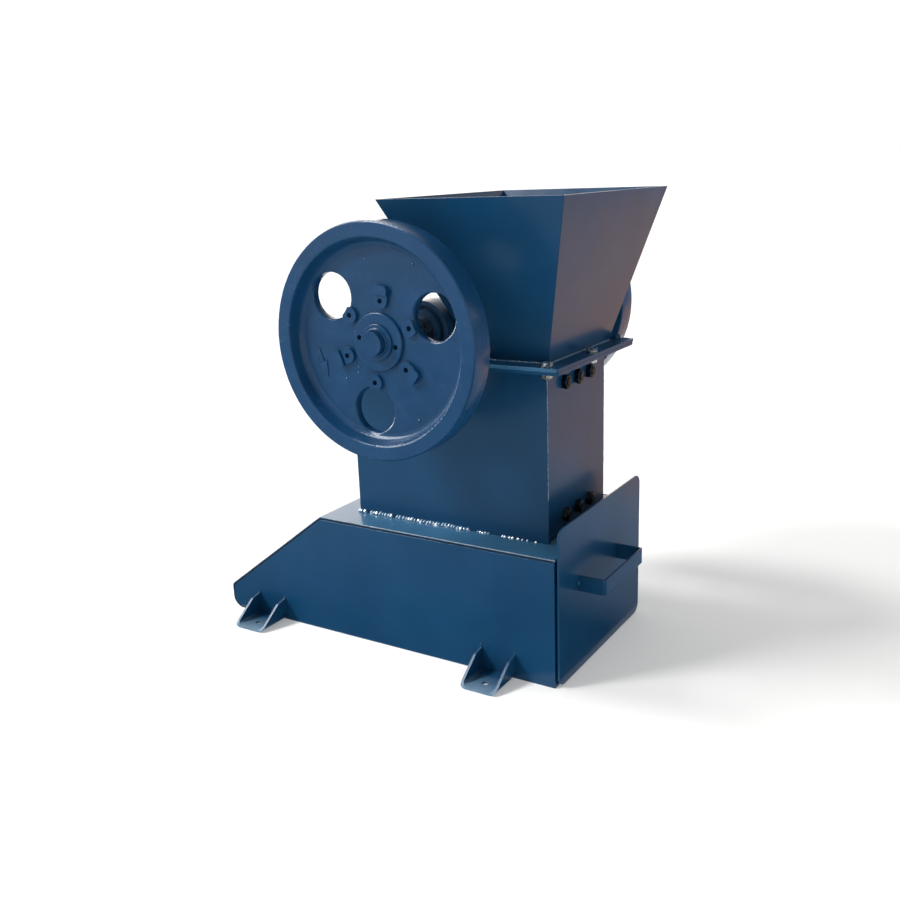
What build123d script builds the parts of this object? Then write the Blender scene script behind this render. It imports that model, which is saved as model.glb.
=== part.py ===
from build123d import *
import math
import os

# Small fabricated jaw crusher: a welded base with a sample drawer, a plate body with a fixed and
# a swinging jaw, a sheet hopper, and an eccentric shaft with a cast flywheel on each end.
# Frame: X runs from the sloping back to the drawer, Y across the machine, Z up from the floor.
# The origin is the middle of the four foot holes, on the floor. All sizes are in millimetres.

# Feet
foot_pitch = 548.0            # rear foot hole to front foot hole, along X
foot_width = 75.0
foot_reach = 78.0             # how far a foot stands out from the side of the base
foot_hole_reach = 48.0        # from the side of the base to the foot hole
foot_hole_diameter = 13.0
foot_height = 48.0            # top of a cheek, at the base
foot_kink_reach = 24.0        # where a cheek's edge turns down
foot_kink_drop = 5.0
foot_sheet = 5.0
foot_bend = 14.0              # outside bend radius

# Base
base_width = 374.0
base_height = 246.0
base_sheet = 6.0
base_rear_overhang = 114.0    # from the rear foot hole to the back of the base
base_slope_run = 260.0        # length of the slope, seen from above
base_rear_height = 52.0       # upright part below the slope
base_front_ledge = 42.0       # from the front of the body to the front of the base
base_bend = 12.0              # outside bend radius of the slope sheet
base_joint_setback = 20.0     # from the crest of the slope to the top plate
base_toe_bend = 25.0          # outside bend radius where the back wall turns in along the floor
base_toe_reach = 40.0         # from the back of the base to the end of the turned-in edge

# Body of the crusher
body_setback = 55.0           # from the crest of the slope to the back of the body
body_length = 422.0
body_width = 244.0
body_height = 320.0
side_plate = 12.0
front_plate = 16.0
rear_plate = 12.0
outlet_length = 170.0         # opening in the base below the jaws
flange_plate = 6.0
flange_side_overhang = 46.0
flange_front_overhang = 42.0
flange_rear_overhang = 20.0
flange_corner = 8.0

# Hopper
hopper_flange_plate = 6.0
hopper_sheet = 4.0
hopper_height = 281.0
hopper_mouth_width = 258.0
hopper_mouth_front_overhang = 6.0   # past the front of the body
hopper_rim_width = 449.0
hopper_rim_front_overhang = 77.0    # rim past the mouth
hopper_rim_rear_overhang = 141.0
hopper_flange_lip = 4.0             # flange behind the rear wall

# Shaft and bearings
shaft_setback = 198.0         # from the back of the body to the shaft
shaft_rise = 58.0             # from the body's flange to the shaft
journal_diameter = 50.0
stub_diameter = 40.0
stub_length = 18.0            # stub past the face of the hub
eccentric_diameter = 62.0
eccentric_throw = 5.0
running_clearance = 0.05      # between a journal and its bearing
bearing_length = 176.0
bearing_width = 50.0
bearing_foot = 20.0
bearing_arch_diameter = 104.0
bearing_insert_diameter = 72.0
bearing_insert_proud = 5.0
bearing_recess = 5.0
bearing_recess_rim = 8.0      # gap between the insert and the housing
bearing_shoulder = 66.0       # half width of the housing where it meets its foot
bearing_edge_gap = 4.0        # from the bearing to the edge of the flange
bearing_hopper_gap = 3.0      # from the bearing to the hopper flange
collar_diameter = 62.0
collar_thickness = 4.0
collar_boss_diameter = 48.0
collar_boss_rise = 3.0

# Flywheels
flywheel_diameter = 400.0
flywheel_span = 645.0         # over the outer faces of both wheels
rim_width = 50.0
rim_depth = 26.0
rim_draft = 8.0               # the inside of the rim narrows by this much towards the web
rim_edge = 3.0
web_recess = 25.0             # from the face of the rim to the web
web_thickness = 15.0
web_fillet = 12.0
hub_diameter = 100.0
hub_rise = 6.0
hub_back_rise = 22.0
hub_edge = 3.0
light_hole_diameter = 80.0
light_hole_circle = 240.0
light_hole_count = 3
light_hole_angle = 22.0       # from +X towards +Z, at rest
light_hole_edge = 2.0
lug_circle = 140.0
lug_hole_diameter = 9.0
lug_diameter = 28.0
lug_rise = 6.0
long_lug_reach = 26.0         # how far a long lug runs outwards from its hole
long_lug_corner = 7.0
long_lug_seat = 11.0          # from the hole to the higher block at the outer end
long_lug_step = 4.0
lug_count = 2 * light_hole_count   # a round lug at each lightening hole, a long one between two
puller_circle = 74.0
puller_hole_diameter = 9.0
puller_hole_depth = 15.0
puller_hole_angle = 170.0

# Jaws
jaw_plate = 22.0
jaw_ridge = 8.0
jaw_ridge_pitch = 26.0
jaw_ridge_land = 6.0          # flat top of a ridge
jaw_side_gap = 2.0            # fixed jaw to the side plates
jaw_top_gap = 2.0             # below the top of the body
jaw_floor_gap = 16.0          # above the base
nip_angle = 19.0
discharge_gap = 15.0
pitman_side_gap = 6.0
pitman_head_diameter = 100.0
pitman_neck_angle = -35.0     # where the beam's front meets the head, from +X towards +Z
pitman_back_angle = 200.0     # where the beam's back meets the head
pitman_head_clearance = 0.3
pitman_foot_depth = 45.0
pitman_foot_setback = 5.0     # pitman above the lower end of its jaw
pitman_wall = 18.0            # plate behind the jaw
pitman_rib = 16.0
toggle_plate_thickness = 12.0
toggle_end_diameter = 16.0
toggle_width = 180.0
toggle_clearance = 0.3
toggle_rise = 84.0            # front seat of the toggle above the base
toggle_rear_lift = 12.0       # rear seat above the front one
toggle_seat_depth = 36.0
toggle_seat_height = 50.0
rod_diameter = 12.0
rod_rise = 39.0               # tension rod above the base
rod_clearance = 0.3
rod_grip = 18.0               # length of the rod inside the pitman
spring_length = 46.0
spring_diameter = 32.0
spring_wire = 5.0
spring_turns = 5.0
spring_steps = 12             # lengths of wire in one turn
rod_washer_diameter = 36.0
rod_washer = 4.0
rod_nut_diameter = 21.0
rod_nut = 10.0
rod_tail = 4.0

# Drawer
drawer_gap = 5.0              # round the drawer, and from the base to the front panel
drawer_sheet = 3.0
drawer_length = 440.0
drawer_height = 190.0
panel_sheet = 4.0
panel_height = 298.0
panel_floor_gap = 3.0
panel_corner = 20.0
handle_bar = 30.0             # height of the flat bar
handle_sheet = 4.0
handle_length = 181.0
handle_reach = 52.0
handle_offset = -16.0         # handle's middle from the middle of the panel
handle_rise = 160.0           # lower edge of the handle above the floor
handle_bend = 6.0

# Where the main pieces meet
base_rear_x = -foot_pitch / 2 - base_rear_overhang
crest_x = base_rear_x + base_slope_run
body_rear_x = crest_x + body_setback
body_front_x = body_rear_x + body_length
base_front_x = body_front_x + base_front_ledge
toe_end_x = base_rear_x + base_toe_reach
body_top_z = base_height + body_height
flange_top_z = body_top_z + flange_plate
flange_half_width = body_width / 2 + flange_side_overhang
flange_front_x = body_front_x + flange_front_overhang
inner_half_width = body_width / 2 - side_plate
inner_front_x = body_front_x - front_plate
inner_rear_x = body_rear_x + rear_plate
shaft_x = body_rear_x + shaft_setback
shaft_z = flange_top_z + shaft_rise
wheel_face_y = flywheel_span / 2
hub_face_y = wheel_face_y - web_recess + hub_rise
hub_back_y = wheel_face_y - web_recess - web_thickness - hub_back_rise
bearing_y = flange_half_width - bearing_edge_gap - bearing_width / 2
pitman_half_width = inner_half_width - pitman_side_gap
hopper_flange_rear_x = shaft_x + bearing_length / 2 + bearing_hopper_gap
hopper_floor_z = flange_top_z + hopper_flange_plate

# Jaw faces: the fixed jaw stands upright, the swinging one leans back by the nip angle
jaw_bottom_z = base_height + jaw_floor_gap
jaw_top_z = body_top_z - jaw_top_gap
jaw_height = jaw_top_z - jaw_bottom_z
nip = math.radians(nip_angle)
jaw_up = Vector(-math.sin(nip), 0, math.cos(nip))
jaw_back = Vector(-math.cos(nip), 0, -math.sin(nip))
fixed_tip_x = inner_front_x - jaw_plate - jaw_ridge
swing_tip = Vector(fixed_tip_x - discharge_gap, 0, jaw_bottom_z)
swing_length = jaw_height / math.cos(nip)
swing_seat = swing_tip + jaw_back * (jaw_plate + jaw_ridge)


def outline(points, rounded=()):
    """A closed outline of straight edges, with the corners in rounded, (point, radius), made round."""
    face = make_face(Polyline(*points, close=True))
    for point, radius in rounded:
        face = fillet(face.vertices().sort_by_distance(point)[0], radius)
    return face


def extrude_x(sketch, low, high):
    """A (y, z) outline, from x = low to x = high."""
    return extrude(Plane.YZ.offset(low) * sketch, amount=high - low)


def extrude_y(sketch, low, high):
    """An (x, z) outline, from y = low to y = high."""
    return extrude(Plane.XZ.offset(-high) * sketch, amount=high - low)


def extrude_z(sketch, low, high):
    """An (x, y) outline, from z = low to z = high."""
    return extrude(Plane.XY.offset(low) * sketch, amount=high - low)


def slab(x_low, x_high, y_low, y_high, z_low, z_high):
    middle = Pos((x_low + x_high) / 2, (y_low + y_high) / 2, (z_low + z_high) / 2)
    return middle * Box(x_high - x_low, y_high - y_low, z_high - z_low)


def bar_y(x, z, diameter, low, high):
    """A round bar along Y."""
    return Pos(x, (low + high) / 2, z) * Rot(90, 0, 0) * Cylinder(diameter / 2, high - low)


def bar_x(y, z, diameter, low, high):
    """A round bar along X."""
    return Pos((low + high) / 2, y, z) * Rot(0, 90, 0) * Cylinder(diameter / 2, high - low)


def near_side(part):
    """The same piece on the near side, where Y is negative."""
    return mirror(part, about=Plane.XZ)


def on_pitman_back(z):
    """The X of the pitman's back edge at a height."""
    top, bottom = pitman_back_top(), pitman_back_bottom()
    return bottom.X + (z - bottom.Z) / (top.Z - bottom.Z) * (top.X - bottom.X)


# Base

def slope_corners():
    """The inside corners of the slope sheet: (below its crest, above its heel)."""
    lean = math.atan2(base_height - base_rear_height, base_slope_run)
    start_x = base_rear_x + base_sheet * math.sin(lean)
    start_z = base_rear_height - base_sheet * math.cos(lean)
    crest_z = base_height - base_sheet
    heel_x = base_rear_x + base_sheet
    crest = (start_x + (crest_z - start_z) / math.tan(lean), crest_z)
    heel = (heel_x, start_z + (heel_x - start_x) * math.tan(lean))
    return crest, heel


def base_side():
    crest, heel = slope_corners()
    toe = (base_rear_x + base_sheet, base_sheet)
    inner_bend = base_bend - base_sheet
    profile = outline([
        (toe_end_x, 0),
        (base_front_x, 0),
        (base_front_x, base_height - base_sheet),
        crest,
        heel,
        toe,
        (toe_end_x, base_sheet),
    ], [(crest, inner_bend), (heel, inner_bend), (toe, base_toe_bend - base_sheet)])
    return extrude_y(profile, base_width / 2 - base_sheet, base_width / 2)


def base_slope():
    """Folded sheet: the toe along the floor, the back wall, the slope and the start of the top."""
    crest, heel = slope_corners()
    joint_x = crest_x + base_joint_setback
    outer_crest = (crest_x, base_height)
    outer_heel = (base_rear_x, base_rear_height)
    outer_toe = (base_rear_x, 0)
    toe = (base_rear_x + base_sheet, base_sheet)
    profile = outline([
        (joint_x, base_height),
        outer_crest,
        outer_heel,
        outer_toe,
        (toe_end_x, 0),
        (toe_end_x, base_sheet),
        toe,
        heel,
        crest,
        (joint_x, base_height - base_sheet),
    ], [
        (outer_crest, base_bend),
        (outer_heel, base_bend),
        (outer_toe, base_toe_bend),
        (toe, base_toe_bend - base_sheet),
        (heel, base_bend - base_sheet),
        (crest, base_bend - base_sheet),
    ])
    return extrude_y(profile, -base_width / 2, base_width / 2)


def base_top():
    """Top plate, with the outlet that the crushed stone falls through."""
    plate = slab(crest_x + base_joint_setback, base_front_x, -base_width / 2, base_width / 2,
                 base_height - base_sheet, base_height)
    outlet = slab(inner_front_x - outlet_length, inner_front_x, -inner_half_width, inner_half_width,
                  base_height - base_sheet, base_height)
    return plate - outlet


def base_floor():
    half = base_width / 2 - base_sheet
    return slab(toe_end_x, base_front_x, -half, half, 0, base_sheet)


def foot(middle_x):
    """Folded foot with two cheeks, on the far side of the base."""
    low_x, high_x = middle_x - foot_width / 2, middle_x + foot_width / 2
    side_y = base_width / 2
    outer_y = side_y + foot_reach
    outside = outline([(low_x, 0), (high_x, 0), (high_x, foot_height), (low_x, foot_height)],
                      [((low_x, 0), foot_bend), ((high_x, 0), foot_bend)])
    low_inner, high_inner = low_x + foot_sheet, high_x - foot_sheet
    inner_bend = foot_bend - foot_sheet
    inside = outline([
        (low_inner, foot_sheet),
        (high_inner, foot_sheet),
        (high_inner, foot_height),
        (low_inner, foot_height),
    ], [((low_inner, foot_sheet), inner_bend), ((high_inner, foot_sheet), inner_bend)])
    cheek = outline([
        (side_y, 0),
        (outer_y, 0),
        (outer_y, foot_sheet),
        (side_y + foot_kink_reach, foot_height - foot_kink_drop),
        (side_y, foot_height),
    ])
    channel = extrude_y(outside - inside, side_y, outer_y)
    hole_place = Pos(middle_x, side_y + foot_hole_reach, foot_sheet / 2)
    hole = hole_place * Cylinder(foot_hole_diameter / 2, foot_sheet)
    return (channel & extrude_x(cheek, low_x, high_x)) - hole


# Body

def body_side():
    return slab(body_rear_x, body_front_x, inner_half_width, body_width / 2, base_height, body_top_z)


def body_front():
    return slab(inner_front_x, body_front_x, -inner_half_width, inner_half_width, base_height, body_top_z)


def body_rear():
    plate = slab(body_rear_x, inner_rear_x, -inner_half_width, inner_half_width, base_height, body_top_z)
    rod_hole = rod_diameter + 2 * rod_clearance
    return plate - bar_x(0, base_height + rod_rise, rod_hole, body_rear_x, inner_rear_x)


def rounded_plate(x_low, x_high, half_width, corner):
    corners = [(x_low, -half_width), (x_high, -half_width), (x_high, half_width), (x_low, half_width)]
    return outline(corners, [(point, corner) for point in corners])


def body_flange():
    low_x = body_rear_x - flange_rear_overhang
    plate = extrude_z(rounded_plate(low_x, flange_front_x, flange_half_width, flange_corner),
                      body_top_z, flange_top_z)
    opening = slab(inner_rear_x, inner_front_x, -inner_half_width, inner_half_width, body_top_z, flange_top_z)
    return plate - opening


# Hopper

def hopper_corners(level, inset):
    """Corners of the hopper, rear near, front near, front far, rear far: level 0 is the mouth, 1 the rim."""
    rear_x = hopper_flange_rear_x + hopper_flange_lip - level * hopper_rim_rear_overhang
    front_x = body_front_x + hopper_mouth_front_overhang + level * hopper_rim_front_overhang
    half = hopper_mouth_width / 2 + level * (hopper_rim_width - hopper_mouth_width) / 2
    z = hopper_floor_z + level * hopper_height
    return [
        (rear_x + inset, -half + inset, z),
        (front_x - inset, -half + inset, z),
        (front_x - inset, half - inset, z),
        (rear_x + inset, half - inset, z),
    ]


def hopper_wall(first, second):
    """One sheet wall between two corners of the hopper, mitred at its upright edges."""
    outer_low, outer_high = hopper_corners(0, 0), hopper_corners(1, 0)
    inner_low, inner_high = hopper_corners(0, hopper_sheet), hopper_corners(1, hopper_sheet)
    low = [outer_low[first], outer_low[second], inner_low[second], inner_low[first]]
    high = [outer_high[first], outer_high[second], inner_high[second], inner_high[first]]
    faces = [Face(Wire.make_polygon(low)), Face(Wire.make_polygon(high))]
    for i in range(len(low)):
        j = (i + 1) % len(low)
        faces.append(Face(Wire.make_polygon([low[i], low[j], high[j], high[i]])))
    return Solid(Shell(faces))


def hopper_flange():
    shape = rounded_plate(hopper_flange_rear_x, flange_front_x, flange_half_width, hopper_flange_lip)
    plate = extrude_z(shape, flange_top_z, hopper_floor_z)
    rear_near, front_near, front_far, _ = hopper_corners(0, hopper_sheet)
    return plate - slab(rear_near[0], front_near[0], rear_near[1], front_far[1], flange_top_z, hopper_floor_z)


# Jaws and the parts that drive them

def ridged_section(width, first_ridge):
    """Section of a jaw plate, u across and v out of its back, a ridge at first_ridge and at each pitch."""
    foot_half = jaw_ridge_pitch / 2
    land_half = jaw_ridge_land / 2
    count = math.floor((width / 2 - foot_half - abs(first_ridge)) / jaw_ridge_pitch)
    points = [(width / 2, 0), (width / 2, jaw_plate)]
    for i in range(count, -count - 1 - (first_ridge > 0), -1):
        middle = first_ridge + i * jaw_ridge_pitch
        points += [
            (middle + foot_half - land_half / 2, jaw_plate),
            (middle + land_half, jaw_plate + jaw_ridge),
            (middle - land_half, jaw_plate + jaw_ridge),
            (middle - foot_half + land_half / 2, jaw_plate),
        ]
    return points + [(-width / 2, jaw_plate), (-width / 2, 0)]


def fixed_jaw():
    section = ridged_section(2 * (inner_half_width - jaw_side_gap), 0)
    face = outline([(inner_front_x - v, u) for u, v in section])
    return extrude_z(face, jaw_bottom_z, jaw_top_z)


def swing_jaw():
    section = ridged_section(2 * pitman_half_width, jaw_ridge_pitch / 2)
    plane = Plane(origin=swing_seat, x_dir=(0, 1, 0), z_dir=jaw_up)
    return extrude(plane * outline([(u, -v) for u, v in section]), amount=swing_length)


def pitman_front_bottom():
    return swing_seat + jaw_up * pitman_foot_setback


def pitman_back_bottom():
    return pitman_front_bottom() - Vector(pitman_foot_depth, 0, 0)


def pitman_head_point(angle):
    reach, turn = pitman_head_diameter / 2, math.radians(angle)
    return Vector(shaft_x + reach * math.cos(turn), 0, shaft_z + reach * math.sin(turn))


def pitman_back_top():
    return pitman_head_point(pitman_back_angle)


def pitman():
    """Jaw stock: a barrel round the eccentric and a ribbed beam down to the toggle."""
    front_bottom, back_bottom = pitman_front_bottom(), pitman_back_bottom()
    front_top = swing_seat + jaw_up * swing_length
    neck, back_top = pitman_head_point(pitman_neck_angle), pitman_back_top()
    beam_points = [front_bottom, front_top, neck, Vector(shaft_x, 0, shaft_z), back_top, back_bottom]
    beam = extrude_y(outline([(p.X, p.Z) for p in beam_points]), -pitman_half_width, pitman_half_width)
    stock = beam + bar_y(shaft_x, shaft_z, pitman_head_diameter, -pitman_half_width, pitman_half_width)
    bore = eccentric_diameter + 2 * eccentric_throw + 2 * pitman_head_clearance
    stock -= bar_y(shaft_x, shaft_z, bore, -pitman_half_width, pitman_half_width)

    toggle_z = base_height + toggle_rise
    pocket_low = toggle_z + 2 * toggle_end_diameter
    pocket_high = shaft_z - pitman_head_diameter / 2 - pitman_rib
    wall = swing_seat + jaw_back * pitman_wall
    lower = wall + jaw_up * ((pocket_low - swing_seat.Z) / jaw_up.Z)
    upper = wall + jaw_up * ((pocket_high - swing_seat.Z) / jaw_up.Z)
    pocket = outline([
        (lower.X, lower.Z),
        (upper.X, upper.Z),
        (on_pitman_back(pocket_high) - pitman_rib, pocket_high),
        (on_pitman_back(pocket_low) - pitman_rib, pocket_low),
    ])
    pocket_inner, pocket_outer = pitman_rib / 2, pitman_half_width - pitman_rib
    stock -= extrude_y(pocket, -pocket_outer, -pocket_inner)
    stock -= extrude_y(pocket, pocket_inner, pocket_outer)

    groove = toggle_end_diameter + 2 * toggle_clearance
    stock -= bar_y(on_pitman_back(toggle_z), toggle_z, groove, -pitman_half_width, pitman_half_width)
    rod_z = base_height + rod_rise
    rod_mouth = on_pitman_back(rod_z) - rod_diameter
    rod_end = on_pitman_back(rod_z) + rod_grip + rod_clearance
    return stock - bar_x(0, rod_z, rod_diameter + 2 * rod_clearance, rod_mouth, rod_end)


def toggle_ends():
    """Middles of the toggle's round ends: in the pitman, and in the seat on the rear plate."""
    front_z = base_height + toggle_rise
    return (on_pitman_back(front_z), front_z), (inner_rear_x + toggle_seat_depth, front_z + toggle_rear_lift)


def toggle_plate():
    (front_x, front_z), (rear_x, rear_z) = toggle_ends()
    length = math.hypot(front_x - rear_x, front_z - rear_z)
    half = toggle_plate_thickness / 2
    across = (-(front_z - rear_z) / length * half, (front_x - rear_x) / length * half)
    web = outline([
        (front_x + across[0], front_z + across[1]),
        (rear_x + across[0], rear_z + across[1]),
        (rear_x - across[0], rear_z - across[1]),
        (front_x - across[0], front_z - across[1]),
    ])
    plate = extrude_y(web, -toggle_width / 2, toggle_width / 2)
    for x, z in toggle_ends():
        plate += bar_y(x, z, toggle_end_diameter, -toggle_width / 2, toggle_width / 2)
    return plate


def toggle_seat():
    _, (rear_x, rear_z) = toggle_ends()
    half, rise = toggle_width / 2, toggle_seat_height / 2
    block = slab(inner_rear_x, rear_x, -half, half, rear_z - rise, rear_z + rise)
    return block - bar_y(rear_x, rear_z, toggle_end_diameter + 2 * toggle_clearance, -half, half)


def tension_rod():
    """Rod from the pitman out through the rear plate, with its washer and nut."""
    z = base_height + rod_rise
    washer_x = body_rear_x - spring_length
    nut_x = washer_x - rod_washer
    rod = bar_x(0, z, rod_diameter, nut_x - rod_nut - rod_tail, on_pitman_back(z) + rod_grip)
    rod += bar_x(0, z, rod_washer_diameter, nut_x, washer_x)
    nut = Plane.YZ.offset(nut_x - rod_nut) * Pos(0, z) * RegularPolygon(rod_nut_diameter / 2, 6)
    return rod + extrude(nut, amount=rod_nut)


def tension_spring():
    """Coil spring between the rear plate and the washer, its wire laid in short straight lengths."""
    z = base_height + rod_rise
    mean_radius = (spring_diameter - spring_wire) / 2
    rise = spring_length - spring_wire
    count = round(spring_turns * spring_steps)
    points = []
    for i in range(count + 1):
        turn = 2 * math.pi * i / spring_steps
        x = body_rear_x - spring_wire / 2 - rise * i / count
        points.append(Vector(x, mean_radius * math.cos(turn), z + mean_radius * math.sin(turn)))
    path = Polyline(*points)
    section = Plane(origin=points[0], z_dir=points[1] - points[0]) * Circle(spring_wire / 2)
    return sweep(section, path=path, transition=Transition.RIGHT)


# Bearings, shaft and flywheels

def bearing():
    """Pillow block on the far side: a foot, an arched housing and the insert round the journal."""
    low_y, high_y = bearing_y - bearing_width / 2, bearing_y + bearing_width / 2
    half = bearing_length / 2
    foot_z = flange_top_z + bearing_foot
    base_points = [(shaft_x - half, flange_top_z), (shaft_x + half, flange_top_z),
                   (shaft_x + half, foot_z), (shaft_x - half, foot_z)]
    base = outline(base_points, [(base_points[2], bearing_foot / 2), (base_points[3], bearing_foot / 2)])
    shoulder = outline([
        (shaft_x - bearing_shoulder, flange_top_z),
        (shaft_x + bearing_shoulder, flange_top_z),
        (shaft_x + bearing_arch_diameter / 2, shaft_z),
        (shaft_x - bearing_arch_diameter / 2, shaft_z),
    ])
    arch = Pos(shaft_x, shaft_z) * Circle(bearing_arch_diameter / 2)
    housing = extrude_y(base + shoulder + arch, low_y, high_y)
    recess = bearing_insert_diameter + 2 * bearing_recess_rim
    housing -= bar_y(shaft_x, shaft_z, recess, low_y, low_y + bearing_recess)
    housing -= bar_y(shaft_x, shaft_z, recess, high_y - bearing_recess, high_y)
    insert_low, insert_high = low_y - bearing_insert_proud, high_y + bearing_insert_proud
    housing += bar_y(shaft_x, shaft_z, bearing_insert_diameter, insert_low, insert_high)
    bore = journal_diameter + 2 * running_clearance
    return housing - bar_y(shaft_x, shaft_z, bore, insert_low, insert_high)


def eccentric_shaft():
    """Stepped shaft; the eccentric points down at rest."""
    shaft = bar_y(shaft_x, shaft_z, journal_diameter, -hub_face_y, hub_face_y)
    eccentric_z = shaft_z - eccentric_throw
    shaft += bar_y(shaft_x, eccentric_z, eccentric_diameter, -pitman_half_width, pitman_half_width)
    end_y = hub_face_y + stub_length
    return shaft + bar_y(shaft_x, shaft_z, stub_diameter, -end_y, end_y)


def wheel_blank():
    """Turned form of the flywheel about its own axis, outer face at y = 0, the machine at +y."""
    outer, rim_inner = flywheel_diameter / 2, flywheel_diameter / 2 - rim_depth
    web_edge = rim_inner - rim_draft
    hub = hub_diameter / 2
    bore = journal_diameter / 2 + running_clearance
    web_back = web_recess + web_thickness
    hub_front, hub_back = web_recess - hub_rise, web_back + hub_back_rise
    hub_corner, web_corner, rim_corner = (hub, hub_front), (web_edge, web_recess), (rim_inner, 0)
    face_corner, back_corner = (outer, 0), (outer, rim_width)
    half_section = [
        (bore, hub_front),
        hub_corner,
        (hub, web_recess),
        web_corner,
        rim_corner,
        face_corner,
        back_corner,
        (rim_inner, rim_width),
        (web_edge, web_back),
        (hub, web_back),
        (hub, hub_back),
        (bore, hub_back),
    ]
    rounded = [(corner, rim_edge) for corner in (rim_corner, face_corner, back_corner)]
    rounded += [(web_corner, web_fillet), (hub_corner, hub_edge)]
    return revolve(outline(half_section, rounded), axis=Axis.Y)


def wheel_point(circle, angle):
    """A place on a circle about the wheel's axis, seen from outside: (x, z)."""
    turn = math.radians(angle)
    return circle / 2 * math.cos(turn), circle / 2 * math.sin(turn)


def flywheel():
    """Cast flywheel of the near side, at its place on the shaft."""
    wheel = wheel_blank()
    web_back = web_recess + web_thickness
    for k in range(light_hole_count):
        hole_angle = light_hole_angle + 360 / light_hole_count * k
        x, z = wheel_point(light_hole_circle, hole_angle)
        wheel -= light_hole(x, z)
        lug_x, lug_z = wheel_point(lug_circle, hole_angle)
        round_lug = bar_y(lug_x, lug_z, lug_diameter, web_recess - lug_rise, web_recess)
        wheel += round_lug - bar_y(x, z, light_hole_diameter, web_recess - lug_rise, web_recess)
        wheel += long_lug(hole_angle + 360 / lug_count)
    for k in range(lug_count):
        x, z = wheel_point(lug_circle, light_hole_angle + 360 / lug_count * k)
        wheel -= bar_y(x, z, lug_hole_diameter, web_recess - lug_rise, web_back)
    for angle in (puller_hole_angle, puller_hole_angle + 180):
        x, z = wheel_point(puller_circle, angle)
        hub_front = web_recess - hub_rise
        wheel -= bar_y(x, z, puller_hole_diameter, hub_front, hub_front + puller_hole_depth)
    return Pos(shaft_x, -wheel_face_y, shaft_z) * wheel


def light_hole(x, z):
    """Cutter for a lightening hole, with its edge eased as far up as the toe of the rim's fillet."""
    hole = bar_y(x, z, light_hole_diameter, web_recess, web_recess + web_thickness)
    radius = light_hole_diameter / 2
    reach = 3 * light_hole_edge
    ease = Cone(radius, radius + reach, reach)
    return hole + Pos(x, web_recess + light_hole_edge - reach / 2, z) * Rot(90, 0, 0) * ease


def lug_block(start):
    """Outline of a long lug along X, from start to its rounded outer end."""
    half, end = lug_diameter / 2, lug_circle / 2 + long_lug_reach
    corners = [(end, -half), (end, half)]
    return outline([(start, -half), (end, -half), (end, half), (start, half)],
                   [(corner, long_lug_corner) for corner in corners])


def long_lug(angle):
    """Raised pad that runs outwards from a lug hole, with a higher block at its outer end."""
    hole = lug_circle / 2
    seat_y = web_recess - lug_rise
    pad = lug_block(hole) + Pos(hole, 0) * Circle(lug_diameter / 2)
    lug = extrude_y(Rot(0, 0, angle) * pad, seat_y, web_recess)
    block = Rot(0, 0, angle) * lug_block(hole + long_lug_seat)
    return lug + extrude_y(block, seat_y - long_lug_step, seat_y)


def collar():
    """Stepped washer that holds a flywheel on the shaft, near side."""
    step_y = -hub_face_y - collar_thickness
    end_y = step_y - collar_boss_rise
    ring = bar_y(shaft_x, shaft_z, collar_diameter, step_y, -hub_face_y)
    ring += bar_y(shaft_x, shaft_z, collar_boss_diameter, end_y, step_y)
    return ring - bar_y(shaft_x, shaft_z, stub_diameter + 2 * running_clearance, end_y, -hub_face_y)


def other_end(part):
    """The same piece turned round for the far end of the shaft, its holes in line with the near ones."""
    turned = part.rotate(Axis((shaft_x, 0, 0), (0, 0, 1)), 180)
    return turned.rotate(Axis((shaft_x, 0, shaft_z), (0, 1, 0)), 360 / lug_count - 2 * light_hole_angle)


# Drawer

drawer_back_x = base_front_x + drawer_gap - drawer_length
panel_back_x = base_front_x + drawer_gap
panel_face_x = panel_back_x + panel_sheet
drawer_half_width = base_width / 2 - base_sheet - drawer_gap


def drawer_floor():
    return slab(drawer_back_x, panel_back_x, -drawer_half_width, drawer_half_width,
                base_sheet, base_sheet + drawer_sheet)


def drawer_side():
    return slab(drawer_back_x, panel_back_x, drawer_half_width - drawer_sheet, drawer_half_width,
                base_sheet + drawer_sheet, base_sheet + drawer_height)


def drawer_back():
    inner = drawer_half_width - drawer_sheet
    return slab(drawer_back_x, drawer_back_x + drawer_sheet, -inner, inner,
                base_sheet + drawer_sheet, base_sheet + drawer_height)


def drawer_panel():
    half = base_width / 2
    low_z, high_z = panel_floor_gap, panel_floor_gap + panel_height
    corners = [(-half, low_z), (half, low_z), (half, high_z), (-half, high_z)]
    shape = outline(corners, [(corner, panel_corner) for corner in corners])
    return extrude_x(shape, panel_back_x, panel_face_x)


def drawer_handle():
    """Flat bar bent into a U, welded to the panel by its two ends."""
    low_y, high_y = handle_offset - handle_length / 2, handle_offset + handle_length / 2
    end_x = panel_face_x + handle_reach
    outside = outline([(panel_face_x, low_y), (end_x, low_y), (end_x, high_y), (panel_face_x, high_y)],
                      [((end_x, low_y), handle_bend), ((end_x, high_y), handle_bend)])
    low_inner, high_inner, end_inner = low_y + handle_sheet, high_y - handle_sheet, end_x - handle_sheet
    inner_bend = handle_bend - handle_sheet
    inside = outline([
        (panel_face_x, low_inner),
        (end_inner, low_inner),
        (end_inner, high_inner),
        (panel_face_x, high_inner),
    ], [((end_inner, low_inner), inner_bend), ((end_inner, high_inner), inner_bend)])
    return extrude_z(outside - inside, handle_rise, handle_rise + handle_bar)


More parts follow.
